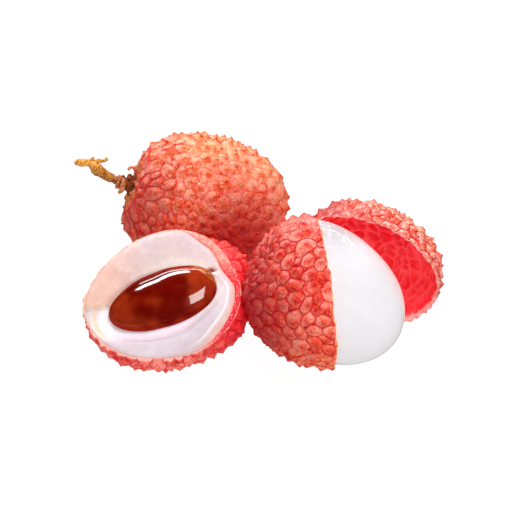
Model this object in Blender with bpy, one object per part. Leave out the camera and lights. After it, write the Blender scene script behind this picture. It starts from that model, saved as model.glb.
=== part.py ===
"""A loose bunch of lychees lying together on a table: a whole fruit with its stem, a fruit cut open round its
seed, a fruit with half of its peel off, and the empty half peel. Blender 4.5, metres, +Z up.

Every skin is made of the same kind of scales. Each scale is a low pyramid: its base corners lie in the
grooves, on the smooth form of the fruit, and its point stands out from that form.
"""

import math

import bmesh
import bpy
import numpy as np
from mathutils import Matrix, Vector

MM = 0.001

# The air between two pieces that touch, and the thickness of the peel from a groove to its lining.
GAP = 0.3 * MM
PEEL_WALL = 0.6 * MM

# The scales of a skin. CROWDING gathers them towards the stem.
SCALE_COUNT = 400
SCALE_HEIGHT = 0.9 * MM
SCALE_JITTER = 0.40
CROWDING = 1.15

# The broad shape of a fruit, as shares of its radius: the shoulders round its stem, the dimple inside them,
# and how much fuller the stem end is.
SHOULDER = 0.036
DIMPLE = 0.17
EGG = 0.018
SWELL_SPREAD = 0.55

# The table's height, and the middle of the bunch's footprint in the millimetres that the forms are set out
# in. The bunch is moved so that this point is the origin.
TABLE_Z = 0.0
MIDDLE = Vector((-0.31, 1.28, 0.0))


class Form:
    """The smooth form of one fruit to the bottom of its grooves. Its own +Z is its stem axis, and its own +X
    is as near as it can be to the way it faces. Swells are directions in which this fruit is fuller, or
    slimmer, than the others, each with its share of the radius."""

    def __init__(self, at, axis, facing, across, along, swells=()):
        self.at = (Vector(at) - MIDDLE) * MM
        self.axis = Vector(axis).normalized()
        self.facing = Vector(facing).normalized()
        self.across = across * MM
        self.along = along * MM
        z = self.axis
        x = (self.facing - z * self.facing.dot(z)).normalized()
        self.turn = Matrix((x, z.cross(x), z)).transposed()
        self.frame = Matrix.Translation(self.at) @ self.turn.to_4x4()
        self.swells = [(self.turn.inverted() @ Vector(way).normalized(), share) for way, share in swells]

    def radius(self, direction, across, along):
        x, y, z = direction
        found = 1.0 / math.sqrt((x * x + y * y) / across**2 + z * z / along**2)
        from_stem = math.acos(max(-1.0, min(1.0, z)))
        share = 1.0 + EGG * z
        share += SHOULDER * math.exp(-(((from_stem - 0.80) / 0.42) ** 2))
        share -= DIMPLE * math.exp(-((from_stem / 0.30) ** 2))
        for way, amount in self.swells:
            between = math.acos(max(-1.0, min(1.0, way.dot(direction))))
            share += amount * math.exp(-((between / SWELL_SPREAD) ** 2))
        return found * share

    def point(self, direction, inset=0.0):
        return direction * (self.radius(direction, self.across, self.along) - inset)

    def normal(self, direction):
        x, y, z = direction
        return Vector((x / self.across**2, y / self.across**2, z / self.along**2)).normalized()


WHOLE = Form(
    at=(-11.8, 17.2, 14.8),
    axis=(-0.965, 0.04, 0.28),
    facing=(0.0, -1.0, 0.0),
    across=14.6,
    along=17.8,
    swells=(
        ((0.956, 0.196, 0.217), 0.059),
        ((-0.966, -0.173, -0.192), 0.065),
        ((-0.50, 0.45, 0.74), -0.030),
    ),
)
CUT = Form(
    at=(-20.5, -13.9, 14.7),
    axis=(0.880, 0.476, -0.053),
    facing=(-0.163, -0.386, 0.908),
    across=14.8,
    along=17.0,
    swells=(
        ((-0.966, -0.173, -0.192), 0.070),
        ((0.707, 0.473, 0.525), -0.040),
        ((0.85, 0.48, -0.20), 0.045),
        ((-0.174, 0.659, 0.732), 0.030),
    ),
)
PEELED = Form(
    at=(14.5, -13.9, 15.3),
    axis=(-0.859, 0.097, 0.503),
    facing=(0.982, 0.18, 0.02),
    across=15.3,
    along=17.5,
    swells=(
        ((0.819, -0.384, -0.426), 0.066),
        ((-0.174, 0.659, 0.732), 0.021),
        ((0.766, 0.430, 0.478), -0.057),
        ((-1.0, 0.0, 0.0), -0.024),
        ((0.0, -0.669, -0.743), -0.045),
    ),
)
LOOSE = Form(
    at=(23.7, -5.3, 14.1),
    axis=(-0.736, 0.675, -0.053),
    facing=(-0.429, -0.903, 0.010),
    across=13.8,
    along=16.7,
    swells=(
        ((0.866, -0.335, -0.372), -0.055),
        ((-0.342, 0.629, 0.698), 0.025),
        ((0.940, 0.229, 0.254), 0.036),
    ),
)

# How far past a fruit's middle its cut is, towards the side that it faces.
CUT_OFFSET = 0.0 * MM
PEELED_OFFSET = -1.2 * MM
LOOSE_OFFSET = -0.6 * MM

# The face of the cut flesh: how far it stands up round the seed's dish, and how deep the dish is.
CROWN = 1.3 * MM
DISH = 1.2 * MM
DISH_WIDTH = 0.55

# The seed: half its length, width and depth, and where it lies in the cut face.
SEED_HALF = Vector((11.3, 6.1, 5.6)) * MM
SEED_AT = Vector((-0.5, -0.7, 0.9)) * MM
SEED_TURN = math.radians(-9.0)

# The stem, as points in millimetres from the whole fruit's middle with the stem's radius at each. It flares
# where it sits in the fruit's dimple and has collars where it bends.
STEM = (
    ((-13.6, 0.6, 3.8), 2.1),
    ((-15.4, 0.5, 4.0), 2.7),
    ((-16.5, 0.5, 4.2), 1.9),
    ((-17.9, 0.6, 4.5), 1.15),
    ((-19.2, 0.8, 4.8), 1.15),
    ((-19.8, 1.0, 5.1), 1.40),
    ((-20.5, 1.4, 5.5), 0.95),
    ((-22.1, 2.7, 6.6), 0.90),
    ((-23.2, 3.8, 7.6), 1.20),
    ((-24.5, 4.3, 8.0), 0.85),
    ((-26.7, 4.5, 7.9), 0.80),
    ((-28.3, 4.6, 7.8), 0.55),
)
SPURS = (
    (((-22.8, 3.6, 7.3), 0.70), ((-22.5, 4.4, 8.4), 0.50), ((-22.3, 4.6, 8.9), 0.30)),
    (((-24.5, 4.2, 7.8), 0.60), ((-25.0, 4.7, 8.6), 0.45), ((-25.2, 4.9, 9.0), 0.25)),
    (((-16.2, 1.4, 5.2), 0.55), ((-16.9, 2.0, 6.0), 0.85), ((-17.5, 2.3, 6.7), 0.80), ((-17.8, 2.5, 7.1), 0.45)),
    (((-15.8, 1.7, 4.8), 0.45), ((-15.9, 1.7, 6.3), 0.35), ((-16.5, 2.3, 7.5), 0.30), ((-17.5, 2.7, 7.8), 0.28)),
)


def clear_scene():
    for obj in list(bpy.data.objects):
        bpy.data.objects.remove(obj, do_unlink=True)


def collection(name):
    made = bpy.data.collections.new(name)
    bpy.context.scene.collection.children.link(made)
    return made


def finish(name, colour, roughness, coat=0.0):
    """A Principled material."""
    made = bpy.data.materials.new(name)
    made.use_nodes = True
    shader = made.node_tree.nodes["Principled BSDF"]
    shader.inputs["Base Color"].default_value = (*colour, 1.0)
    shader.inputs["Roughness"].default_value = roughness
    shader.inputs["Metallic"].default_value = 0.0
    shader.inputs["Coat Weight"].default_value = coat
    return made


def add_object(name, bm, group, material, matrix):
    """Puts a bmesh in the scene as an object, placed by matrix."""
    mesh = bpy.data.meshes.new(name)
    bm.to_mesh(mesh)
    bm.free()
    obj = bpy.data.objects.new(name, mesh)
    group.objects.link(obj)
    if material:
        mesh.materials.append(material)
    obj.matrix_world = matrix
    return obj


def helper(obj):
    obj.hide_render = True
    obj.display_type = "WIRE"
    return obj


def boolean(obj, other, operation="DIFFERENCE"):
    made = obj.modifiers.new(other.name, "BOOLEAN")
    made.operation = operation
    made.object = other
    made.solver = "EXACT"


def half_space(name, at, normal, group, side=90 * MM):
    """A block that fills the side of a plane that its normal points to."""
    bm = bmesh.new()
    bmesh.ops.create_cube(bm, size=side)
    bmesh.ops.translate(bm, verts=bm.verts, vec=(0.0, 0.0, side / 2.0))
    turn = normal.to_track_quat("Z", "Y").to_matrix().to_4x4()
    return helper(add_object(name, bm, group, None, Matrix.Translation(at) @ turn))


# ---------------------------------------------------------------- skins


def scale_directions(count, seed):
    """Where the scales' points are, as directions from the middle of the fruit. They wind round it, closer
    together towards the stem, and each is moved a little by chance."""
    chance = np.random.RandomState(seed)
    golden = math.pi * (3.0 - math.sqrt(5.0))
    spacing = math.sqrt(4.0 * math.pi / count)
    found = []
    for i in range(count):
        z = 1.0 - 2.0 * ((i + 0.5) / count) ** CROWDING
        ring = math.sqrt(max(0.0, 1.0 - z * z))
        turn = i * golden
        point = Vector((ring * math.cos(turn), ring * math.sin(turn), z))
        nudge = Vector(chance.uniform(-1.0, 1.0, 3)) * (SCALE_JITTER * spacing)
        found.append((point + nudge).normalized())
    return found


def scale_cells(directions):
    """The scales on a ball of radius 1, as triangles. The scales' points come first in the list of vertices,
    and the corners of the scales follow them."""
    bm = bmesh.new()
    for direction in directions:
        bm.verts.new(direction)
    bmesh.ops.convex_hull(bm, input=bm.verts[:])
    between_points = bm.edges[:]
    bmesh.ops.poke(bm, faces=bm.faces[:])
    bmesh.ops.rotate_edges(bm, edges=between_points)
    bm.verts.ensure_lookup_table()
    return bm


def skin(form, seed):
    """The whole outside of a fruit with its scales, closed."""
    bm = scale_cells(scale_directions(SCALE_COUNT, seed))
    chance = np.random.RandomState(seed + 1)
    for i, vert in enumerate(bm.verts):
        direction = vert.co.normalized()
        vert.co = form.point(direction)
        if i < SCALE_COUNT:
            by_stem = 1.0 - 0.55 * math.exp(-(((1.0 - direction.z) / 0.06) ** 2))
            height = SCALE_HEIGHT * chance.uniform(0.65, 1.15) * by_stem
            vert.co += form.normal(direction) * height
    bmesh.ops.recalc_face_normals(bm, faces=bm.faces[:])
    return bm


def smooth_form(form, inset, segments, rings):
    """The fruit without scales, inset from the bottom of its grooves, closed."""
    bm = bmesh.new()
    bmesh.ops.create_uvsphere(bm, u_segments=segments, v_segments=rings, radius=1.0)
    for vert in bm.verts:
        vert.co = form.point(vert.co.normalized(), inset)
    return bm


def cup_of_peel(name, form, seed, offset, groups, material):
    """A scaled skin with its inside and the side that it faces taken away."""
    parts, cutters = groups
    obj = add_object(name, skin(form, seed), parts, material, form.frame)
    lining = smooth_form(form, PEEL_WALL, 32, 18)
    boolean(obj, helper(add_object(name + "_inside", lining, cutters, None, form.frame)))
    boolean(obj, half_space(name + "_cut", form.at + form.facing * offset, form.facing, cutters))
    return obj


# ---------------------------------------------------------------- the stem


def tube(stations, grown=0.0, sides=8):
    """A closed round body along a bent line, with its own radius at every station."""
    places = [Vector(at) * MM for at, _ in stations]
    radii = [radius * MM + grown for _, radius in stations]
    ways = []
    for i in range(len(places)):
        before = places[max(0, i - 1)]
        after = places[min(len(places) - 1, i + 1)]
        ways.append((after - before).normalized())
    places[0] = places[0] - ways[0] * grown
    places[-1] = places[-1] + ways[-1] * grown
    bm = bmesh.new()
    across = ways[0].orthogonal().normalized()
    rings = []
    for place, way, radius in zip(places, ways, radii):
        across = (across - way * across.dot(way)).normalized()
        up = way.cross(across)
        ring = []
        for k in range(sides):
            turn = 2.0 * math.pi * k / sides
            ring.append(bm.verts.new(place + (across * math.cos(turn) + up * math.sin(turn)) * radius))
        rings.append(ring)
    for low, high in zip(rings, rings[1:]):
        for k in range(sides):
            bm.faces.new((low[k], low[(k + 1) % sides], high[(k + 1) % sides], high[k]))
    bm.faces.new(list(reversed(rings[0])))
    bm.faces.new(rings[-1])
    bmesh.ops.recalc_face_normals(bm, faces=bm.faces[:])
    return bm


def stem_body(name, grown, groups, material, shown):
    """The stem with its spurs, as one body."""
    parts, cutters = groups
    place = Matrix.Translation(WHOLE.at)
    obj = add_object(name, tube(STEM, grown, 12), parts if shown else cutters, material, place)
    if not shown:
        helper(obj)
    for i, spur in enumerate(SPURS):
        branch = add_object(f"{name}_spur_{i + 1}", tube(spur, grown, 6), cutters, None, place)
        boolean(obj, helper(branch), "UNION")
    return obj


# ---------------------------------------------------------------- the fruits


def whole_fruit(groups, table, peel, wood):
    parts, cutters = groups
    obj = add_object("whole_fruit", skin(WHOLE, 11), parts, peel, WHOLE.frame)
    stem_body("stem", 0.0, groups, wood, True)
    boolean(obj, stem_body("stem_room", GAP, groups, None, False))
    boolean(obj, table)


def lying_frame(form):
    """A frame in a cut face: its +Z is the way that the face looks, and its +X is nearest to the stem axis."""
    z = form.facing
    x = (form.axis - z * form.axis.dot(z)).normalized()
    return Matrix.Translation(form.at) @ Matrix((x, z.cross(x), z)).transposed().to_4x4()


def seed_body(grown):
    """A long round seed, blunter towards its own +X."""
    bm = bmesh.new()
    bmesh.ops.create_uvsphere(bm, u_segments=20, v_segments=18, radius=1.0)
    bmesh.ops.rotate(bm, verts=bm.verts, matrix=Matrix.Rotation(math.pi / 2, 3, "Y"))
    for vert in bm.verts:
        x, y, z = vert.co
        fuller = 1.0 + 0.08 * x
        vert.co.x = x * (SEED_HALF.x + grown)
        vert.co.y = y * fuller * (SEED_HALF.y + grown)
        vert.co.z = z * fuller * (SEED_HALF.z + grown)
    return bm


def face_height(x, y, share):
    """How far the cut flesh stands above the plane of the cut: a rounded rim, then a dish down to the seed.
    share is how far out the place is, from 0 in the middle to 1 at the peel."""
    from_seed = math.hypot((x - SEED_AT.x) / SEED_HALF.x, (y - SEED_AT.y) / SEED_HALF.y) - 1.0
    slope = max(0.0, min(1.0, from_seed / DISH_WIDTH))
    slope = slope * slope * (3.0 - 2.0 * slope)
    return CROWN * slope * math.sqrt(max(0.0, 1.0 - share**6)) - DISH * (1.0 - slope)


def cut_flesh_body(form, to_fruit):
    """The flesh of a fruit cut in two: a bowl in its peel with a shaped face."""
    bm = bmesh.new()
    bmesh.ops.create_uvsphere(bm, u_segments=40, v_segments=28, radius=1.0)
    for vert in bm.verts:
        on_face = vert.co.z > 1e-4
        flat = Vector((vert.co.x, vert.co.y, 0.0 if on_face else vert.co.z))
        share = flat.length
        if share < 1e-6:
            vert.co = (0.0, 0.0, face_height(0.0, 0.0, 0.0))
            continue
        way = (to_fruit @ flat).normalized()
        reach = form.point(way, PEEL_WALL + GAP).length
        vert.co = flat * reach
        if on_face:
            vert.co.z = face_height(vert.co.x, vert.co.y, share)
    return bm


def cut_fruit(groups, table, peel, flesh, seed_finish):
    parts, cutters = groups
    boolean(cup_of_peel("cut_peel", CUT, 23, CUT_OFFSET, groups, peel), table)
    lying = lying_frame(CUT)
    to_fruit = (CUT.frame.inverted() @ lying).to_3x3()
    obj = add_object("cut_flesh", cut_flesh_body(CUT, to_fruit), parts, flesh, lying)
    seat = lying @ Matrix.Translation(SEED_AT) @ Matrix.Rotation(SEED_TURN, 4, "Z")
    boolean(obj, helper(add_object("seed_room", seed_body(GAP), cutters, None, seat)))
    add_object("seed", seed_body(0.0), parts, seed_finish, seat)


def peeled_fruit(groups, table, peel, flesh):
    boolean(cup_of_peel("peeled_peel", PEELED, 37, PEELED_OFFSET, groups, peel), table)
    body = smooth_form(PEELED, PEEL_WALL + GAP, 40, 24)
    add_object("peeled_flesh", body, groups[0], flesh, PEELED.frame)


def loose_peel(groups, table, peel):
    boolean(cup_of_peel("loose_peel", LOOSE, 53, LOOSE_OFFSET, groups, peel), table)


def main():
    clear_scene()
    groups = collection("lychee_bunch"), collection("cutters")
    peel = finish("peel", (0.62, 0.11, 0.09), 0.55)
    flesh = finish("flesh", (0.92, 0.88, 0.88), 0.25, coat=0.5)
    seed_finish = finish("seed", (0.13, 0.02, 0.008), 0.12, coat=1.0)
    wood = finish("wood", (0.42, 0.20, 0.09), 0.8)
    down = Vector((0.0, 0.0, -1.0))
    table = half_space("table", Vector((0.0, 0.0, TABLE_Z)), down, groups[1], side=200 * MM)
    whole_fruit(groups, table, peel, wood)
    cut_fruit(groups, table, peel, flesh, seed_finish)
    peeled_fruit(groups, table, peel, flesh)
    loose_peel(groups, table, peel)


main()
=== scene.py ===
"""The looks of a loose bunch of lychees: a whole fruit with its stem, a fruit cut open round its seed, a
fruit with half of its peel off, and the empty half peel. The forms follow the CAD part's, made finely."""

import math

import bmesh
import bpy
import numpy as np
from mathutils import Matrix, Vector


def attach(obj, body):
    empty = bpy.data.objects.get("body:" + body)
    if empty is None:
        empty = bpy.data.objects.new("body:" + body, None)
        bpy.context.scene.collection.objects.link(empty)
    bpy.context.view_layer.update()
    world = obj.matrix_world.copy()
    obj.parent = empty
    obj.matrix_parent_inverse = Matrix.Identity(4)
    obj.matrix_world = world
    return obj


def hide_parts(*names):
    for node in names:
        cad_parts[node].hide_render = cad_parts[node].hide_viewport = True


MM = 0.001
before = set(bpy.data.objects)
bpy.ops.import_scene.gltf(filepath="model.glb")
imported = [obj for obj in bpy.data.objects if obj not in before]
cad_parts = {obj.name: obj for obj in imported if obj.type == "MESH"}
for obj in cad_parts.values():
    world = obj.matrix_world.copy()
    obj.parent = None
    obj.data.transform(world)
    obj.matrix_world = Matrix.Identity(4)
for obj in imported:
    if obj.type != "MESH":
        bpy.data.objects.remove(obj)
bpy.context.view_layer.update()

# ---- the forms

# The peel's thickness from a groove to its lining.
PEEL_WALL = 0.6 * MM

# The scales of a skin. CROWDING gathers them towards the stem. INFILL is the share of the places where three
# scales meet that get a small scale of their own.
SCALE_COUNT = 400
SCALE_HEIGHT = 0.9 * MM
SCALE_JITTER = 0.40
CROWDING = 1.15
INFILL = 0.22

# The rows of a scale's mesh are at these shares of the way from its point to its border.
ROW_AT = np.array((0.0, 0.14, 0.30, 0.47, 0.64, 0.79, 0.915, 1.0))
ROWS = len(ROW_AT) - 1

# The broad shape of a fruit, as shares of its radius: the shoulders round its stem, the dimple inside them,
# and how much fuller the stem end is. Where they are and how wide is in radians from the stem.
SHOULDER = 0.036
SHOULDER_AT = 0.80
SHOULDER_WIDTH = 0.42
DIMPLE = 0.17
DIMPLE_WIDTH = 0.30
EGG = 0.018
SWELL_SPREAD = 0.55

# The middle of the bunch's footprint in the millimetres that the forms are set out in. It is the origin.
MIDDLE = np.array((-0.31, 1.28, 0.0))


def unit(v):
    v = np.asarray(v, float)
    return v / np.linalg.norm(v, axis=-1, keepdims=True)


def smooth(x, low, high):
    """0 below low, 1 above high, and smooth between them."""
    t = np.clip((x - low) / (high - low), 0.0, 1.0)
    return t * t * (3.0 - 2.0 * t)


def bell(x, width):
    """1 where x is 0, falling smoothly on both sides of it. At that width it is about a third."""
    return np.exp(-((x / width) ** 2))


def angle(ways, way):
    return np.arccos(np.clip(ways @ way, -1.0, 1.0))


class Form:
    """The smooth form of one fruit to the bottom of its grooves. Its own +Z is its stem axis. Swells are
    directions in which it is fuller, or slimmer, than the others, each with its share of the radius."""

    def __init__(self, at, axis, facing, across, along, swells=()):
        self.at = (np.array(at) - MIDDLE) * MM
        self.axis = unit(axis)
        self.facing = unit(facing)
        self.across = across * MM
        self.along = along * MM
        z = self.axis
        x = unit(self.facing - z * (self.facing @ z))
        self.turn = np.stack([x, np.cross(z, x), z], 1)
        self.swells = [(unit(way) @ self.turn, share) for way, share in swells]

    def radius(self, d):
        x, y, z = d.T
        found = 1.0 / np.sqrt((x * x + y * y) / self.across**2 + z * z / self.along**2)
        from_stem = np.arccos(np.clip(z, -1.0, 1.0))
        share = 1.0 + EGG * z
        share += SHOULDER * bell(from_stem - SHOULDER_AT, SHOULDER_WIDTH)
        share -= DIMPLE * bell(from_stem, DIMPLE_WIDTH)
        for way, amount in self.swells:
            share += amount * bell(angle(d, way), SWELL_SPREAD)
        return found * share

    def normal(self, d):
        return unit(d / np.array((self.across**2, self.across**2, self.along**2)))

    def world(self, own):
        return own @ self.turn.T + self.at

    def own_way(self, d):
        return d @ self.turn

    def world_radius(self, d):
        return self.radius(self.own_way(d))[:, None]

    def off(self, ways, way):
        """The angles between ways in the fruit's own frame and one way in the world."""
        return angle(ways, self.own_way(unit(way)))


WHOLE = Form(
    at=(-11.8, 17.2, 14.8), axis=(-0.965, 0.04, 0.28), facing=(0.0, -1.0, 0.0), across=14.6, along=17.8,
    swells=(((0.956, 0.196, 0.217), 0.059), ((-0.966, -0.173, -0.192), 0.065), ((-0.50, 0.45, 0.74), -0.03)),
)
CUT = Form(
    at=(-20.5, -13.9, 14.7), axis=(0.880, 0.476, -0.053), facing=(-0.163, -0.386, 0.908), across=14.8,
    along=17.0, swells=(
        ((-0.966, -0.173, -0.192), 0.070), ((0.707, 0.473, 0.525), -0.040), ((0.85, 0.48, -0.20), 0.045),
        ((-0.174, 0.659, 0.732), 0.030), ((0.841, -0.531, -0.075), 0.035),
    ),
)
PEELED = Form(
    at=(14.5, -13.9, 15.3), axis=(-0.859, 0.097, 0.503), facing=(0.982, 0.18, 0.02), across=15.3,
    along=17.5, swells=(
        ((0.819, -0.384, -0.426), 0.066), ((-0.174, 0.659, 0.732), 0.021), ((0.766, 0.430, 0.478), -0.057),
        ((-1.0, 0.0, 0.0), -0.024), ((0.0, -0.669, -0.743), -0.045),
    ),
)
LOOSE = Form(
    at=(23.7, -5.3, 14.1), axis=(-0.736, 0.675, -0.053), facing=(-0.429, -0.903, 0.010), across=13.8,
    along=16.7, swells=(
        ((0.866, -0.335, -0.372), -0.055), ((-0.342, 0.629, 0.698), 0.025), ((0.940, 0.229, 0.254), 0.036),
    ),
)

# How far the plane of each cup's rim is from the middle of its fruit.
CUT_OFFSET = 0.0
PEELED_OFFSET = -1.2 * MM
LOOSE_OFFSET = -0.6 * MM

# The seed lies in the cut face, and is turned a little from the fruit's stem axis.
SEED_HALF = np.array((11.3, 6.1, 5.6)) * MM
SEED_AT = np.array((-0.5, -0.7, 0.7)) * MM
SEED_TURN = math.radians(-9.0)

# The stem's line and its radii, in millimetres from the middle of the whole fruit.
STEM = (
    (-13.6, 0.6, 3.8, 2.3), (-15.0, 0.5, 4.0, 2.8), (-16.1, 0.6, 4.2, 2.2), (-17.2, 0.7, 4.5, 1.5),
    (-18.0, 0.8, 4.8, 1.45), (-18.7, 1.0, 5.1, 1.65), (-19.3, 1.1, 5.3, 1.10),
    (-20.0, 1.3, 5.45, 0.95), (-22.2, 2.3, 6.2, 1.10), (-23.8, 3.2, 6.9, 1.40),
    (-24.8, 3.9, 7.4, 1.10), (-25.7, 4.3, 7.6, 0.80), (-27.4, 4.4, 7.7, 0.90), (-28.7, 4.5, 7.7, 0.6),
)
# Each spur: its line and radii, how golden it is, and how pink.
SPURS = (
    (((-25.3, 4.4, 7.9, 0.55), (-24.9, 4.7, 8.5, 0.45), (-24.8, 4.8, 8.9, 0.30)), 0.8, 0.1),
    (((-24.9, 4.2, 7.8, 0.60), (-23.6, 4.4, 8.2, 0.50), (-22.4, 4.5, 8.2, 0.35),
      (-21.6, 4.7, 8.6, 0.40)), 1.3, 0.0),
    (((-19.6, 0.1, 4.2, 0.40), (-19.0, 0.0, 5.0, 0.60), (-18.7, 0.7, 6.2, 0.55),
      (-19.0, 1.1, 6.9, 0.30)), 0.5, 0.7),
    (((-19.0, -0.7, 3.4, 0.35), (-18.3, -0.8, 4.4, 0.60), (-17.9, 0.0, 5.8, 0.60),
      (-18.0, 0.6, 6.5, 0.30)), 0.6, 0.5),
    (((-16.4, 0.9, 5.6, 0.50), (-16.5, 0.9, 6.5, 0.68), (-16.6, 1.0, 7.1, 0.45)), 0.2, 0.1),
    (((-15.0, 1.8, 4.6, 0.45), (-15.1, 2.0, 6.6, 0.36), (-15.6, 2.0, 8.2, 0.32),
      (-16.3, 2.0, 8.4, 0.30), (-16.9, 2.0, 7.8, 0.38)), 0.3, 1.0),
    (((-15.6, -1.4, 2.8, 0.55), (-16.9, -2.0, 2.0, 0.60), (-17.2, -2.4, 0.9, 0.35)), 0.9, 0.0),
    (((-15.2, -2.6, 1.4, 0.50), (-16.8, -3.1, 0.6, 0.60), (-16.9, -3.5, -0.6, 0.35)), 0.7, 0.2),
    (((-15.4, 2.4, 3.6, 0.50), (-16.6, 3.4, 3.4, 0.55), (-16.9, 4.2, 3.0, 0.30)), 0.6, 0.1),
)

# ---- mesh tools


def waves(points, size, seed, count=14):
    """Smooth noise between about -1 and 1, with lumps of about that size in mm."""
    chance = np.random.RandomState(seed)
    total = np.zeros(len(points))
    for _ in range(count):
        way = unit(chance.normal(size=3)) * (math.tau / (size * MM)) * chance.uniform(0.45, 1.0)
        total += np.sin(points @ way + chance.uniform(0.0, math.tau))
    return total / math.sqrt(count / 2.0) * 0.6


def add_attributes(mesh, attributes):
    for key, values in attributes.items():
        layer = mesh.attributes.new(key, "FLOAT", "POINT")
        layer.data.foreach_set("value", np.asarray(values, dtype=np.float32))


def placed(name, data, materials=()):
    for material in materials:
        data.materials.append(material)
    obj = bpy.data.objects.new(name, data)
    bpy.context.scene.collection.objects.link(obj)
    return obj


def new_object(name, verts, faces, materials, attributes):
    mesh = bpy.data.meshes.new(name)
    mesh.from_pydata(verts.tolist(), [], faces)
    add_attributes(mesh, attributes)
    mesh.polygons.foreach_set("use_smooth", [True] * len(mesh.polygons))
    mesh.update()
    return placed(name, mesh, materials)


def polar_grid(rows, count):
    """The polar angles and the turns of rows of rings on a ball, and then of its two poles."""
    polar = np.repeat(math.pi * np.arange(1, rows + 1) / (rows + 1), count)
    turn = np.tile(math.tau * np.arange(count) / count, rows)
    return np.append(polar, (0.0, math.pi)), np.append(turn, (0.0, 0.0))


def ring_faces(rows, count):
    """The faces of a closed body whose points are rows of rings, and then its first and its last pole."""
    faces = []
    for row in range(rows - 1):
        for k in range(count):
            a, b = row * count + k, row * count + (k + 1) % count
            faces.append((a, a + count, b + count, b))
    first, base = rows * count, (rows - 1) * count
    for k in range(count):
        faces.append((first, k, (k + 1) % count))
        faces.append((base + k, first + 1, base + (k + 1) % count))
    return faces


def on_table(verts):
    """Nothing goes below the surface that the fruits rest on."""
    verts[:, 2] = np.maximum(verts[:, 2], 0.03 * MM)
    return verts


# ---- skins


def scale_points(seed):
    """Where the scales' points are, as directions. They wind round the fruit, closer near its stem."""
    chance = np.random.RandomState(seed)
    i = np.arange(SCALE_COUNT)
    z = 1.0 - 2.0 * ((i + 0.5) / SCALE_COUNT) ** CROWDING
    ring = np.sqrt(np.maximum(0.0, 1.0 - z * z))
    turn = i * math.pi * (3.0 - math.sqrt(5.0))
    spacing = math.sqrt(4.0 * math.pi / SCALE_COUNT)
    nudge = chance.uniform(-1.0, 1.0, (SCALE_COUNT, 3)) * SCALE_JITTER * spacing
    return unit(np.stack([ring * np.cos(turn), ring * np.sin(turn), z], 1) + nudge)


def hull_faces(points):
    bm = bmesh.new()
    for point in points:
        bm.verts.new(point)
    bm.verts.index_update()
    bmesh.ops.convex_hull(bm, input=bm.verts[:])
    bmesh.ops.triangulate(bm, faces=bm.faces[:])
    found = np.array([[v.index for v in face.verts] for face in bm.faces])
    bm.free()
    return found


def with_infill(points, faces, seed):
    """Adds small three-sided scales in some of the places where three scales meet."""
    chance = np.random.RandomState(seed + 5)
    more, split = [], []
    for face in faces:
        if chance.uniform() < INFILL:
            new = len(points) + len(more)
            more.append(unit(chance.uniform(0.7, 1.3, 3) @ points[face]))
            split += [(face[0], face[1], new), (face[1], face[2], new), (face[2], face[0], new)]
        else:
            split.append(tuple(face))
    return np.concatenate([points, more]), np.array(split)


def shared_borders(faces):
    """Every two scales that meet, by their numbers, with the two corners of the border between them."""
    pairs = {}
    for f, face in enumerate(faces):
        for a in range(3):
            key = tuple(sorted((face[a], face[(a + 1) % 3])))
            pairs.setdefault(key, []).append(f)
    return np.array([(i, j, f, g) for (i, j), (f, g) in pairs.items()])


def leaning_tips(points, borders, near, far):
    """The scales' points moved away from the stem: shares of half a scale, near it and far from it."""
    between = np.linalg.norm(points[borders[:, 0]] - points[borders[:, 1]], axis=1)
    spread = np.zeros((len(points), 2))
    for side in (0, 1):
        np.add.at(spread, borders[:, side], np.stack([between, np.ones(len(borders))], 1))
    half_width = 0.5 * spread[:, 0] / spread[:, 1]
    away = unit(points * points[:, 2:] - (0.0, 0.0, 1.0) + 1e-9)
    shift = far + (near - far) * bell(angle(points, (0.0, 0.0, 1.0)), 1.1)
    return unit(points + away * (half_width * shift)[:, None])


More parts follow.
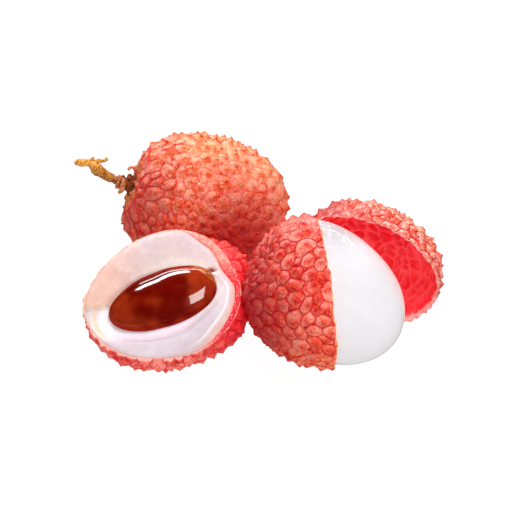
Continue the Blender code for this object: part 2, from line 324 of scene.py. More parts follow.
def scale_patches(faces, corners, borders, points, tips):
    """Every scale as a fan of fine patches between its point and its borders: the places as directions, their
    shares of the way to the border, the scales that they belong to, and the triangles."""
    n, c, e, m = len(points), len(corners), len(borders), ROWS
    spoke_of = {}
    for f, face in enumerate(faces):
        for a in range(3):
            spoke_of[(face[a], f)] = 3 * f + a
    patch_site = np.concatenate([borders[:, 0], borders[:, 1]])
    patch_f = np.tile(borders[:, 2], 2)
    patch_g = np.tile(borders[:, 3], 2)
    patch_border = np.tile(np.arange(e), 2)
    turned = np.einsum("ij,ij->i", np.cross(corners[patch_f], corners[patch_g]), points[patch_site]) < 0
    spoke_f = np.array([spoke_of[(s, f)] for s, f in zip(patch_site, patch_f)])
    spoke_g = np.array([spoke_of[(s, g)] for s, g in zip(patch_site, patch_g)])
    at_corner = n
    at_border = n + c
    at_spoke = at_border + e * (m - 1)
    inside = (m - 1) * (m - 2) // 2
    at_inside = at_spoke + 3 * c * (m - 1)
    total = at_inside + 2 * e * inside
    patch = np.arange(2 * e)

    def ids(j, k):
        """Where place k of row j is in the list, for every patch. Patches share their outer places."""
        if j == 0:
            return patch_site
        if j == m:
            if k == 0:
                return at_corner + patch_f
            if k == m:
                return at_corner + patch_g
            return at_border + patch_border * (m - 1) + k - 1
        if k == 0:
            return at_spoke + spoke_f * (m - 1) + j - 1
        if k == j:
            return at_spoke + spoke_g * (m - 1) + j - 1
        return at_inside + patch * inside + (j - 1) * (j - 2) // 2 + k - 1

    ways = np.zeros((total, 3))
    out = np.zeros(total)
    owner = np.zeros(total, int)
    for j in range(m + 1):
        for k in range(j + 1):
            share = k / j if j else 0.0
            base = corners[patch_f] * (1.0 - share) + corners[patch_g] * share
            where = ids(j, k)
            ways[where] = tips[patch_site] * (1.0 - ROW_AT[j]) + base * ROW_AT[j]
            out[where] = ROW_AT[j]
            owner[where] = patch_site
    triangles = []
    for j in range(m):
        for k in range(j + 1):
            triangles.append(np.stack([ids(j, k), ids(j + 1, k), ids(j + 1, k + 1)], 1))
            if k < j:
                triangles.append(np.stack([ids(j, k), ids(j + 1, k + 1), ids(j, k + 1)], 1))
    for t in triangles:
        t[turned] = t[turned][:, ::-1]
    return unit(ways), out, owner, np.concatenate(triangles)


def from_groove(corners, borders, points, ways, out, owner, reach, soft):
    """How far every place is from its scale's nearest groove, in metres, with corners rounded by soft."""
    normals = [[] for _ in points]
    for i, j, f, g in borders:
        side = unit(np.cross(corners[f], corners[g]))
        for site in (i, j):
            normals[site].append(side if side @ points[site] > 0 else -side)
    table = np.full((len(points), max(map(len, normals)), 3), np.nan)
    for i, found in enumerate(normals):
        table[i, : len(found)] = found
    gaps = np.einsum("vj,vkj->vk", ways, table[owner]) * reach[:, None]
    gaps = np.nan_to_num(gaps, nan=1.0)
    edge = -soft * np.log(np.exp(-np.clip(gaps, 0.0, None) / soft).sum(1))
    return np.where(out >= 1.0, 0.0, np.clip(edge + soft * 0.69, 0.0, None))


def lying_axes(form):
    """The axes of a fruit's cut face: along its stem axis, across it, and out of the face."""
    z = form.facing
    x = unit(form.axis - z * (form.axis @ z))
    return np.stack([x, np.cross(z, x), z], 1)


def rim_places(form, points):
    """Each place's turn about the cut face's middle, from the stem end, and its height over the face."""
    x, y, z = ((points - form.at) @ lying_axes(form)).T
    return np.arctan2(y, x), z


def around(turn, middle, width):
    """1 at a turn given in degrees, falling to 0 at one and a half times the width from it."""
    off = np.abs((np.degrees(turn) - middle + 180.0) % 360.0 - 180.0)
    return 1.0 - smooth(off, width * 0.5, width * 1.5)


def at_turns(value, turn):
    """A value of a look that is one number, or a function of the turn."""
    return value(turn) if callable(value) else np.full(len(turn), value)


# What a skin's look says. Lengths are in mm and spreads in radians.
# mix: the shares of a scale's height in its flat plate, its slopes and its pointed tip. bevel, tip and round:
# how wide the plate's edge, the tip and the scale's rounded corners are. tall: how high scales stand, against
# SCALE_HEIGHT. wedge: how far tips lean from the stem, near it and far from it. rough, groove: their depths.
# deep, gold and the top highlight: tints, and bulges: lumps, each as a way in the world, an amount and a
# spread. The deep tint is partly painted shade, the gold tint partly a painted highlight, and the top
# highlight is painted.
# calm: how much flatter the scales are by a cup's rim. pinch: how far the skin is drawn in there. ragged:
# waves of the rim, each as a count and a size. rim_wall: how thick the peel is at its rim. red_rim: how vivid
# the rim is. net: how high the lining's net is. steps: how many rings the lining has.
PLAIN_LOOK = dict(
    wedge=(0.25, 0.10), rough=0.05, groove=0.10, deep=(), gold_and_sheen=(), top_highlight=(), bulges=(),
    pinch=0.0, red_rim=0.0, net=0.0, steps=26,
)


def fine_skin(form, seed, look):
    """The scaled skin as places in the fruit's own frame, triangles and attributes."""
    points = scale_points(seed)
    points, faces = with_infill(points, hull_faces(points), seed)
    corners = unit(points[faces].mean(1))
    borders = shared_borders(faces)
    tips = leaning_tips(points, borders, *look["wedge"])
    ways, out, owner, triangles = scale_patches(faces, corners, borders, points, tips)
    reach = form.radius(ways)
    places = ways * reach[:, None]
    edge = from_groove(corners, borders, points, ways, out, owner, reach, look["round"] * MM)
    tip = np.arccos(np.clip(np.einsum("ij,ij->i", ways, tips[owner]), -1.0, 1.0)) * reach

    # The height of every place above the grooves.
    extra = len(points) - SCALE_COUNT
    heights = np.random.RandomState(seed + 1).uniform(0.65, 1.15, SCALE_COUNT)
    chance = np.random.RandomState(seed + 2)
    heights = np.concatenate([heights, chance.uniform(0.30, 0.55, extra)])
    by_stem = 1.0 - 0.20 * bell(1.0 - points[:, 2], 0.06)
    tall = (SCALE_HEIGHT * heights * by_stem)[owner] * look["tall"]
    cell = chance.uniform(0.0, 1.0, len(points))[owner]
    lean = (chance.normal(size=(len(points), 3)) * 0.09)[owner]
    plate = smooth(edge, 0.0, look["bevel"] * MM)
    cone = np.exp(-((tip / (look["tip"] * MM)) ** 1.5))
    of_plate, of_slope, of_cone = look["mix"]
    height = tall * (of_plate * plate + of_slope * (1.0 - out) + of_cone * cone)
    from_point = places - (points * form.radius(points)[:, None])[owner]
    height += plate * np.einsum("ij,ij->i", lean, from_point)
    height += plate * look["rough"] * MM * waves(places, 1.1, seed + 3)
    height += plate * look["rough"] * 0.7 * MM * waves(places, 0.5, seed + 4, 24)
    height -= look["groove"] * MM * bell(edge, 0.14 * MM)
    if "calm" in look:
        turn, depth = rim_places(form, form.world(places))
        by_rim = bell(depth, 1.4 * MM)
        height *= 1.0 - at_turns(look["calm"], turn) * by_rim
        height -= at_turns(look["pinch"], turn) * MM * by_rim
        for way, amount, spread in look["bulges"]:
            height += amount * MM * bell(form.off(ways, way), spread) * smooth(-depth, 0.0, 2.5 * MM)
    verts = places + form.normal(ways) * height[:, None]
    attributes = {
        "edge": np.clip(edge / (1.0 * MM), 0.0, 1.0),
        "tip": np.clip(tip / (1.6 * MM), 0.0, 1.0),
        "cell": cell,
        "stem": angle(ways, (0.0, 0.0, 1.0)) / math.pi,
    }
    for tint in ("deep", "gold_and_sheen", "top_highlight"):
        attributes[tint] = np.zeros(len(ways))
        for way, amount, spread in look[tint]:
            attributes[tint] = np.maximum(attributes[tint], amount * bell(form.off(ways, way), spread))
    return verts, triangles, attributes


def whole_skin(name, form, seed, look, materials):
    verts, triangles, attributes = fine_skin(form, seed, {**PLAIN_LOOK, **look})
    return new_object(name, on_table(form.world(verts)), triangles.tolist(), materials, attributes)


def ragged(form, points, seed, sizes):
    """How far the rim is from its plane, in metres, at the turns where the points are."""
    side = unit(np.cross(form.facing, (0.13, 0.21, 0.97)))
    up = np.cross(form.facing, side)
    turn = np.arctan2((points - form.at) @ up, (points - form.at) @ side)
    chance = np.random.RandomState(seed + 7)
    found = np.zeros(len(points))
    for count, size in sizes:
        found += size * MM * np.sin(count * turn + chance.uniform(0.0, math.tau))
    return found


def open_skin(form, seed, offset, look):
    """The skin up to the ragged rim of a cup, as a bmesh."""
    verts, triangles, attributes = fine_skin(form, seed, look)
    n = form.facing
    verts = form.world(verts)
    verts = verts - n * ragged(form, verts, seed, look["ragged"])[:, None]
    keep = (((verts - form.at) @ n - offset)[triangles] < 0).any(1)
    mesh = bpy.data.meshes.new("work")
    mesh.from_pydata(verts.tolist(), [], triangles[keep].tolist())
    add_attributes(mesh, attributes)
    bm = bmesh.new()
    bm.from_mesh(mesh)
    bpy.data.meshes.remove(mesh)
    bmesh.ops.delete(bm, geom=[v for v in bm.verts if not v.link_faces], context="VERTS")
    bmesh.ops.bisect_plane(
        bm, geom=bm.verts[:] + bm.edges[:] + bm.faces[:], dist=1e-7, plane_co=Vector(form.at + n * offset),
        plane_no=Vector(n), clear_outer=True,
    )
    points = np.array([v.co for v in bm.verts])
    points = on_table(points + n * ragged(form, points, seed, look["ragged"])[:, None])
    for vert, point in zip(bm.verts, points):
        vert.co = point
    bm.verts.index_update()
    bm.verts.ensure_lookup_table()
    return bm


def open_border(bm):
    """The corners of a cup's open border, in order round it."""
    nexts = {}
    for edge in bm.edges:
        if edge.is_boundary:
            loop = edge.link_loops[0]
            nexts[loop.vert.index] = loop.link_loop_next.vert.index
    order = [max(nexts)]
    while nexts[order[-1]] != order[0] and len(order) <= len(nexts):
        order.append(nexts[order[-1]])
    return [bm.verts[i] for i in order]


RIM_ROWS = 4


def rim_and_lining(form, outer, look):
    """Rings of places from the skin's border over the rim, and then down the lining nearly to its bottom."""
    n = form.facing
    ways = unit(outer - form.at)
    wall = at_turns(look["rim_wall"], rim_places(form, outer)[0]) * MM
    inner = form.at + ways * (form.world_radius(ways) - wall[:, None])
    rings = []
    for row in range(1, RIM_ROWS + 1):
        t = row / RIM_ROWS
        puff = math.sin(math.pi * t) * 0.25 * wall
        rings.append(outer * (1.0 - t) + inner * t + n * puff[:, None])
    total = angle(ways, -n)[:, None]
    for step in range(1, look["steps"]):
        t = step / look["steps"]
        d = unit(ways * (np.sin((1.0 - t) * total) / np.sin(total)) - n * (np.sin(t * total) / np.sin(total)))
        thick = wall + (PEEL_WALL - wall) * min(1.0, t * 4.0)
        rings.append(form.at + d * (form.world_radius(d) - thick[:, None]))
    return rings


def raise_net(form, rings, seed, height):
    """Lifts the lining along the soft lines between its cells. Returns how much each place is on a line."""
    net = np.zeros((len(rings), len(rings[0])))
    sites = scale_points(seed)
    for row in range(RIM_ROWS, len(rings)):
        ring = rings[row]
        warp = np.stack([waves(ring, 4.0, seed + 60 + k) for k in range(3)], 1)
        d = unit(unit(ring - form.at) + warp * 0.045)
        near = np.sort(angle(form.own_way(d), sites.T), axis=1)[:, :2] * form.across
        net[row] = bell(near[:, 1] - near[:, 0], 0.85 * MM)
        fade = min(1.0, (row - RIM_ROWS) / 2.0)
        lift = (net[row] * height - 0.10) * MM * fade
        rings[row] = ring - unit(ring - form.at) * lift[:, None]
    return net


def cup(name, form, seed, offset, look, materials):
    """A cup of peel: the skin outside, a lining inside, and a torn or cut rim between them."""
    look = {**PLAIN_LOOK, **look}
    bm = open_skin(form, seed, offset, look)
    last = open_border(bm)
    count = len(last)
    outer = np.array([v.co for v in last])
    rings = rim_and_lining(form, outer, look)
    net = np.zeros((len(rings), count))
    if look["net"]:
        net = raise_net(form, rings, seed, look["net"])
    net[:RIM_ROWS] = at_turns(look["red_rim"], rim_places(form, outer)[0])
    layers = {key: bm.verts.layers.float[key] for key in ("edge", "tip", "gold_and_sheen")}
    for row, ring in enumerate(rings):
        pale = smooth(unit(ring - form.at) @ unit((0.5, 0.1, -0.85)), 0.1, 0.9)
        made = []
        for k, point in enumerate(on_table(ring)):
            vert = bm.verts.new(point)
            vert[layers["edge"]] = net[row][k]
            vert[layers["tip"]] = max(0.0, (row - RIM_ROWS) / look["steps"])
            vert[layers["gold_and_sheen"]] = pale[k]
            made.append(vert)
        for k in range(count):
            face = bm.faces.new((last[(k + 1) % count], last[k], made[k], made[(k + 1) % count]))
            face.material_index = 1 if row < RIM_ROWS else 2
        last = made
    down = -form.facing[None]
    bottom = bm.verts.new((form.at + down * (form.world_radius(down) - PEEL_WALL))[0])
    for k in range(count):
        face = bm.faces.new((last[(k + 1) % count], last[k], bottom))
        face.material_index = 2
    for face in bm.faces:
        face.smooth = True
    mesh = bpy.data.meshes.new(name)
    bm.to_mesh(mesh)
    bm.free()
    return placed(name, mesh, materials)

# ---- materials


class Nodes:
    """A node material in the making."""

    def __init__(self, name):
        self.material = bpy.data.materials.new(name)
        self.material.use_nodes = True
        self.material.cycles.emission_sampling = "NONE"
        self.tree = self.material.node_tree
        self.shader = self.tree.nodes["Principled BSDF"]

    def set(self, **values):
        """Links or sets the shader's own sockets, by their names with _ for a space."""
        for key, value in values.items():
            self.link(value, self.shader.inputs[key.replace("_", " ")])

    def link(self, value, socket):
        if hasattr(value, "links"):
            self.tree.links.new(value, socket)
        elif isinstance(value, tuple) and len(value) == 3 and len(socket.default_value) == 4:
            socket.default_value = (*value, 1.0)
        else:
            socket.default_value = value

    def node(self, kind, inputs):
        node = self.tree.nodes.new("ShaderNode" + kind)
        for key, value in inputs.items():
            self.link(value, node.inputs[key])
        return node

    def attribute(self, name):
        node = self.node("Attribute", {})
        node.attribute_name = name
        return node.outputs["Fac"]

    def noise(self, size, detail=3.0, rough=0.55, stretch=(1.0, 1.0, 1.0)):
        """Noise with lumps of about that size in mm."""
        where = self.node("TexCoord", {}).outputs["Object"]
        if stretch != (1.0, 1.0, 1.0):
            where = self.node("Mapping", {"Scale": stretch, "Vector": where}).outputs["Vector"]
        inputs = {"Scale": 1.0 / (size * MM), "Detail": detail, "Roughness": rough, "Vector": where}
        return self.node("TexNoise", inputs).outputs["Fac"]

    def ramp(self, value, low, high, a=0.0, b=1.0):
        """a below low, b above high, and smooth between them."""
        inputs = {"Value": value, "From Min": low, "From Max": high, "To Min": a, "To Max": b}
        node = self.node("MapRange", inputs)
        node.interpolation_type = "SMOOTHSTEP"
        return node.outputs["Result"]

    def math(self, kind, a, b):
        node = self.node("Math", {0: a, 1: b})
        node.operation = kind
        return node.outputs[0]

    def times(self, a, b):
        return self.math("MULTIPLY", a, b)

    def plus(self, a, b):
        return self.math("ADD", a, b)

    def mix(self, share, a, b, kind="MIX"):
        node = self.node("Mix", {"Factor": share, 6: a, 7: b})
        node.data_type = "RGBA"
        node.blend_type = kind
        return node.outputs[2]

    def bump(self, height, depth, strength):
        node = self.node("Bump", {"Strength": strength, "Distance": depth * MM, "Height": height})
        self.set(Normal=node.outputs["Normal"])

    def soften(self, weight, *radius):
        """Light spreads inside by those lengths in mm, for red, green and blue."""
        self.set(Subsurface_Weight=weight, Subsurface_Scale=1.0)
        self.set(Subsurface_Radius=tuple(length * MM for length in radius))


def srgb(r, g, b):
    """A colour given as 0 to 255 on a screen, as the renderer counts it."""
    shares = [v / 255.0 for v in (r, g, b)]
    return tuple(v / 12.92 if v <= 0.04045 else ((v + 0.055) / 1.055) ** 2.4 for v in shares)


def skin_material(
    name, light, mid, ring, tip, groove, speck, cream, dark, lit, halo, marks, cells, grain, sparks, glow,
    seam=0.92, shift=0.0, brown=0.0,
):
    """Scales in patches of two colours, light and mid, with a ring and a tip at their points and a groove
    round them. dark and lit are the deep tint's colours, a darker red that is partly painted shade, and cream
    the gold tint's, partly a painted highlight. halo is how much the scales' borders turn to mid, and marks
    how wide rings and tips are. cells and grain are how much patches follow whole scales and fine grain.
    seam is how strong grooves are, sparks and glow how much the skin has painted glints and a painted glow,
    shift how much lighter the patches are, and brown how dry it is by the stem."""
    m = Nodes(name)
    edge = m.attribute("edge")
    to_tip = m.attribute("tip")
    cell = m.attribute("cell")
    stem = m.attribute("stem")
    deep = m.attribute("deep")
    patchy = m.noise(2.6)
    lumps = m.noise(0.9, 3.0, 0.65)
    fine = m.noise(0.40, 4.0, 0.75)

    # Two colours in patches, and the gold tint, partly a painted highlight on the whole fruit's top.
    tone = m.plus(m.times(cell, cells), m.times(patchy, 0.40))
    tone = m.plus(tone, m.times(lumps, 0.80))
    tone = m.plus(tone, m.times(fine, grain))
    middle = 0.5 * (cells + 0.40 + 0.80 + grain) - shift
    col = m.mix(m.ramp(tone, middle - 0.13, middle + 0.13), light, mid)
    gold_and_sheen = m.times(m.attribute("gold_and_sheen"), m.ramp(lumps, 0.35, 0.58, 0.30, 1.0))
    col = m.mix(gold_and_sheen, col, cream)

    # The scales' borders, their points and specks.
    col = m.mix(m.ramp(edge, 0.10, 0.36, halo, 0.0), col, mid)
    # Painted shade: dark crimson in the grooves and borders of the folded scales by the stem.
    fold_shade = m.times(m.ramp(stem, 0.22, 0.44, 0.75, 0.0), m.ramp(edge, 0.06, 0.42, 1.0, 0.0))
    col = m.mix(fold_shade, col, srgb(150, 6, 20))
    around_tip = m.plus(to_tip, m.times(m.math("SUBTRACT", fine, 0.5), 0.55))
    in_ring = m.ramp(around_tip, 0.12 * marks, 0.46 * marks, m.ramp(cell, 0.0, 1.0, 0.5, 0.9), 0.0)
    col = m.mix(in_ring, col, ring)
    in_tip = m.ramp(around_tip, 0.02 * marks, 0.22 * marks, m.ramp(cell, 0.0, 1.0, 0.6, 1.0), 0.0)
    col = m.mix(in_tip, col, tip)
    spots = m.ramp(m.noise(0.36, 2.0, 0.6), 0.53, 0.64)
    col = m.mix(m.times(spots, m.ramp(patchy, 0.35, 0.65, 0.15, 0.75)), col, speck)
    # The deep tint: a darker red, partly painted shade on the low and left sides, away from the lights.
    col = m.mix(m.ramp(deep, 0.0, 1.0, 0.0, 0.9), col, m.mix(fine, dark, lit))

    # The grooves, the dry skin by the stem, and a painted highlight on the borders of the top scales.
    line = m.ramp(edge, 0.03, 0.14, 1.0, 0.0)
    strength = m.ramp(stem, 0.22, 0.42, 0.92, seam)
    col = m.mix(m.times(line, strength), col, m.mix(strength, ring, groove))
    if brown:
        by_stem = m.ramp(m.plus(stem, m.times(patchy, 0.10)), 0.10, 0.19, 1.0, 0.0)
        dry = m.mix(m.ramp(lumps, 0.35, 0.65), srgb(112, 52, 18), srgb(204, 150, 56))
        col = m.mix(m.times(by_stem, brown), col, dry)
    top_highlight = m.times(m.attribute("top_highlight"), m.ramp(edge, 0.10, 0.30, 1.0, 0.0))
    top_highlight = m.times(top_highlight, m.ramp(lumps, 0.40, 0.60, 0.1, 1.0))
    col = m.mix(top_highlight, col, srgb(255, 230, 226))

    # Small glints and fine shade.
    glints = m.ramp(m.noise(0.26, 3.0, 0.7), 0.60, 0.68)
    col = m.mix(m.times(glints, m.ramp(deep, 0.2, 0.8, sparks, 0.2 * sparks)), col, srgb(255, 232, 220))
    shade = m.mix(m.ramp(fine, 0.30, 0.70), (0.60, 0.38, 0.38), (1.32, 1.52, 1.48))
    # A painted crimson glow over the skin, stronger in the grooves, lifts their shade.
    m.set(
        Base_Color=m.mix(0.85, col, shade, "MULTIPLY"), Roughness=m.ramp(fine, 0.3, 0.7, 0.32, 0.50),
        Specular_IOR_Level=0.35, Coat_Weight=0.20, Coat_Roughness=0.20, Emission_Color=srgb(236, 0, 36),
        Emission_Strength=m.plus(m.times(line, 0.14), glow),
    )
    m.soften(0.06, 1.2, 0.35, 0.25)
    m.bump(m.plus(fine, m.times(m.noise(0.18, 2.0), 0.5)), 0.16, 0.9)
    return m.material


def rim_material(name, pale, red, glow=(0.0, 0.0, 0.0)):
    """The torn or cut edge of the peel, with white specks that are painted glints. It turns vivid where its
    red is asked for, and has a painted glow.
    """
    m = Nodes(name)
    vivid = srgb(236, 8, 42)
    patchy = m.ramp(m.noise(0.9), 0.35, 0.65, 0.0, 0.6)
    share = m.attribute("edge")
    col = m.mix(share, m.mix(patchy, pale, red), vivid)
    # White specks: painted glints.
    glint_specks = m.ramp(m.noise(0.34, 2.0, 0.6), 0.54, 0.64, 0.0, 0.5)
    m.set(Base_Color=m.mix(glint_specks, col, srgb(255, 226, 214)), Roughness=0.40, Coat_Weight=0.10)
    # A painted glow: vivid red where the rim is red, and the glow colour elsewhere.
    m.set(Emission_Color=m.mix(share, glow, vivid), Emission_Strength=0.22)
    m.soften(0.15, 1.0, 0.4, 0.3)
    m.bump(m.noise(0.3), 0.05, 0.6)
    return m.material


def lining_material():
    """The inside of the peel: vivid cells in a net of soft pale lines, glowing with light let through."""
    m = Nodes("lining_red")
    deep, line = srgb(222, 0, 34), srgb(250, 92, 98)
    salmon, pale = srgb(232, 28, 42), srgb(255, 190, 184)
    down = m.attribute("tip")
    cloudy = m.noise(3.0)
    fine = m.noise(0.8)
    blotchy = m.noise(1.9, 2.0, 0.5)
    base = m.mix(m.ramp(blotchy, 0.42, 0.66, 0.0, 0.50), deep, salmon)
    base = m.mix(m.attribute("gold_and_sheen"), base, m.mix(m.ramp(cloudy, 0.35, 0.65, 0.0, 0.5), salmon, line))
    lines = m.times(m.ramp(m.plus(m.attribute("edge"), m.times(fine, 0.4)), 0.48, 1.25), 0.85)
    lines = m.times(lines, m.ramp(blotchy, 0.30, 0.60, 0.35, 1.0))
    lines = m.times(lines, m.ramp(down, 0.06, 0.20, 0.15, 1.0))
    col = m.mix(m.ramp(down, 0.0, 0.04, 0.6, 0.0), m.mix(lines, base, line), pale)
    m.set(Base_Color=col, Roughness=0.35, Coat_Weight=0.12, Coat_Roughness=0.15)
    # A painted glow in the lining's own colours stands for light let through the peel.
    m.set(Emission_Color=col, Emission_Strength=0.25)
    m.soften(0.4, 1.5, 0.3, 0.3)
    m.bump(m.noise(0.6), 0.05, 0.4)
    return m.material


def flesh_material(name, cut):
    """Wet white flesh that lets light in, with a painted glow. The cut face has more colours than the bare
    flesh.
    """
    m = Nodes(name)
    cloudy = m.noise(7.0)
    thread = m.noise(1.6, 4.0, 0.6, (1.0, 1.0, 0.35))
    threads = m.ramp(thread, 0.45, 0.75)
    if cut:
        wall = m.attribute("wall")
        pink = m.mix(m.ramp(cloudy, 0.3, 0.7), srgb(212, 189, 187), srgb(208, 186, 191))
        lilac = m.mix(m.ramp(cloudy, 0.3, 0.7), srgb(216, 197, 206), srgb(228, 214, 221))
        white = m.mix(m.attribute("upper"), lilac, pink)
        # The dish wall under the seed is painted lighter and given a painted glow, against the shade there.
        white = m.mix(wall, white, srgb(240, 226, 236))
        # The pleat's near-white is a painted highlight on its ridge.
        for mark, colour in (
            ("peach", srgb(226, 178, 156)), ("pleat", srgb(244, 236, 240)), ("cream", srgb(240, 231, 214)),
            ("crease", srgb(246, 208, 158)),
        ):
            white = m.mix(m.attribute(mark), white, colour)
        white = m.mix(m.times(threads, 0.25), white, srgb(250, 236, 238))
        white = m.mix(m.attribute("hilum"), white, srgb(160, 44, 8))
        # The painted glow is on the dish wall only.
        m.set(Coat_Weight=0.08, Coat_Roughness=0.08, Emission_Strength=0.28)
        m.set(Emission_Color=m.mix(wall, (0.0, 0.0, 0.0), srgb(236, 214, 228)))
    else:
        # Painted light: the bare flesh glows all over to lift its shaded lower side, and its crinkled top is
        # painted darker and glows less so that glints show on it.
        darker_wet_top = m.attribute("darker_wet_top")
        white = m.mix(m.ramp(cloudy, 0.35, 0.65), srgb(200, 196, 198), srgb(196, 192, 196))
        white = m.mix(m.times(threads, 0.35), white, srgb(208, 208, 208))
        white = m.mix(darker_wet_top, white, srgb(184, 178, 183))
        white = m.mix(m.times(m.attribute("film"), 0.8), white, srgb(250, 150, 146))
        m.set(Coat_Weight=0.50, Coat_Roughness=0.12, Emission_Color=srgb(240, 236, 238))
        m.set(Emission_Strength=m.ramp(darker_wet_top, 0.0, 1.0, 0.33, 0.10))
    m.set(Base_Color=white, Roughness=0.45, IOR=1.36)
    m.soften(0.55, 3.2, 2.4, 2.2)
    m.bump(m.plus(m.times(cloudy, 0.6), m.times(thread, 0.25)), 0.25, 0.5)
    return m.material


def seed_material():
    m = Nodes("seed_gloss")
    scar = m.attribute("hilum")
    along = m.noise(1.6, 4.0, 0.6, (0.35, 1.0, 1.0))
    broad = m.noise(9.0, 2.0)
    corky = m.mix(m.ramp(m.noise(0.5), 0.38, 0.62), srgb(120, 36, 6), srgb(222, 124, 40))
    col = m.mix(m.ramp(broad, 0.40, 0.62), srgb(104, 8, 1), srgb(158, 46, 16))
    col = m.mix(m.times(m.ramp(along, 0.40, 0.75), 0.35), col, srgb(78, 6, 1))
    m.set(Base_Color=m.mix(scar, col, corky), Roughness=m.ramp(scar, 0.0, 1.0, 0.16, 0.7))
    m.set(Specular_IOR_Level=0.1, Coat_Weight=1.0, Coat_Roughness=0.03, Coat_IOR=1.5)
    m.bump(m.plus(along, m.times(m.noise(0.5, 2.0), 0.15)), 0.05, 0.35)
    return m.material


def bark_material():
    m = Nodes("stem_bark")
    rough = m.noise(0.5, 5.0, 0.7)
    bands = m.noise(1.3)
    lit = m.ramp(rough, 0.38, 0.62)
    dark = m.mix(m.ramp(rough, 0.38, 0.70), srgb(74, 20, 4), srgb(170, 78, 26))
    golden = m.mix(lit, srgb(186, 96, 20), srgb(246, 186, 84))
    col = m.mix(m.ramp(m.plus(m.attribute("along"), m.times(bands, 0.3)), 0.45, 1.05), dark, golden)
    col = m.mix(m.ramp(bands, 0.60, 0.72, 0.0, 0.75), col, srgb(84, 30, 8))
    rosy = m.mix(lit, srgb(196, 66, 36), srgb(248, 168, 130))
    m.set(Base_Color=m.mix(m.attribute("pink"), col, rosy), Roughness=0.72)
    m.bump(rough, 0.15, 0.9)
    return m.material


# ---- flesh, seed and stem

# The marks of the cut face. ACROSS is across the seed from its middle and OFF is off its edge, in mm. BEARING
# is about its middle, in degrees. The seam starts that far along the seed, and SHARE is a share of the face.
SCAR_ACROSS = 2.6
CLEFT_ACROSS = 2.3
LIP_ACROSS = 1.3
SEAM_START = 11.0
SEAM_ACROSS = 2.6
SEAM_SLOPE = 0.36
FOLD_BEARING = 181.0
FOLD_OFF = 3.3
LAYER_BEARING = 222.0
LAYER_OFF = 2.1
PLEAT_SHARE = 0.89
# How high the face stands over its plane below the seam, how much higher above it, and how deep the dish is.
LOW_SIDE = 0.40
HIGH_SIDE = 0.90
DISH = 0.55


def seed_places(x, y):
    """Places in the cut face as seen from the seed: along it and across it, in millimetres."""
    c, s = math.cos(SEED_TURN), math.sin(SEED_TURN)
    dx, dy = (x - SEED_AT[0]) / MM, (y - SEED_AT[1]) / MM
    return dx * c + dy * s, -dx * s + dy * c


def face_shape(x, y, share):
    """The height of the cut face above its plane, and how much each place is upper flesh, dish wall, cream,
    crease, brown scar, peach and pleat. share is how far out a place is, from the middle to the peel."""
    sx, sy = seed_places(x, y)
    turn = np.arctan2(y, x)
    bearing = np.arctan2(sy, sx)
    from_seed = np.hypot(sx / (SEED_HALF[0] / MM), sy / (SEED_HALF[1] / MM)) - 1.0
    beyond = from_seed * 8.0
    off = np.hypot(sx, sy) * from_seed / (from_seed + 1.0)
    left = smooth(-sx, 8.5, 11.5)
    right = smooth(sx, 9.5, 11.5)

    # The upper side is higher. Below the seed the flesh goes down into a dish round it, with a low ridge.
    seam = sy - SEAM_ACROSS - SEAM_SLOPE * (-sx - SEAM_START)
    upper = smooth(seam, -0.18, 0.18) * left + (1.0 - smooth(-sy, -1.2, 1.6)) * (1.0 - left)
    lower = 1.0 - upper
    width = 3.0 + 1.4 * smooth(sx, -10.0, 4.0) * smooth(-sx, -9.0, -2.0)
    down = 1.0 - smooth(beyond, 0.2, width)
    rounded = np.sqrt(np.maximum(0.0, 1.0 - share**12))
    height = (LOW_SIDE + HIGH_SIDE * upper) * rounded
    height -= lower * DISH * down**1.2
    height += lower * 0.28 * bell(beyond - width, 0.9) * rounded
    height -= upper * 0.5 * bell(beyond, 0.7)

    # The cleft and its lip at the seed's scar.
    cleft = bell(sy - CLEFT_ACROSS, 0.40) * right * smooth(beyond, -0.5, 0.3) * (1.0 - smooth(off, 2.6, 3.6))
    height -= 0.9 * cleft * (1.0 - smooth(share, 0.88, 1.0))
    height += 0.35 * bell(sy - LIP_ACROSS, 0.5) * right * (1.0 - smooth(off, 1.5, 3.0))

    # The fold at the seed's other end, the thin layer under it, and the pleat by the peel.
    fold = around(bearing, FOLD_BEARING, 15.0) * lower
    height += fold * (0.22 * bell(off - 1.6, 0.9) - 0.30 * bell(off - FOLD_OFF, 0.6))
    height -= around(bearing, LAYER_BEARING, 44.0) * lower * 0.22 * bell(off - LAYER_OFF, 0.28)
    bend = 0.018 * np.sin(5.0 * turn + 0.6)
    pleat = bell(share - PLEAT_SHARE + bend, 0.020) * around(turn, -44.0, 34.0) * lower
    height += pleat * 0.34

    film = smooth(share + bend, 0.90, 0.96) * around(turn, -40.0, 54.0) * lower
    cream = upper * bell(off, 2.4) * smooth(sx, -5.0, 5.0) * 0.8
    cream = np.maximum(cream, bell(off, 1.8) * smooth(sx, 6.5, 10.5))
    hilum = bell(sy - SCAR_ACROSS, 0.42) * bell(off - 1.9, 0.6) * right
    crease = np.maximum(bell(seam, 0.30) * left * 0.8, fold * bell(off - FOLD_OFF, 0.42))
    return height * MM, {
        "upper": upper, "wall": lower * down, "pleat": pleat, "crease": crease * 0.70,
        "cream": np.maximum(cream, fold * 0.25), "hilum": np.clip(hilum * 1.3, 0.0, 1.0),
        "peach": smooth(-sx, -3.0, 11.0) * upper * 0.75 + film * 0.7,
    }


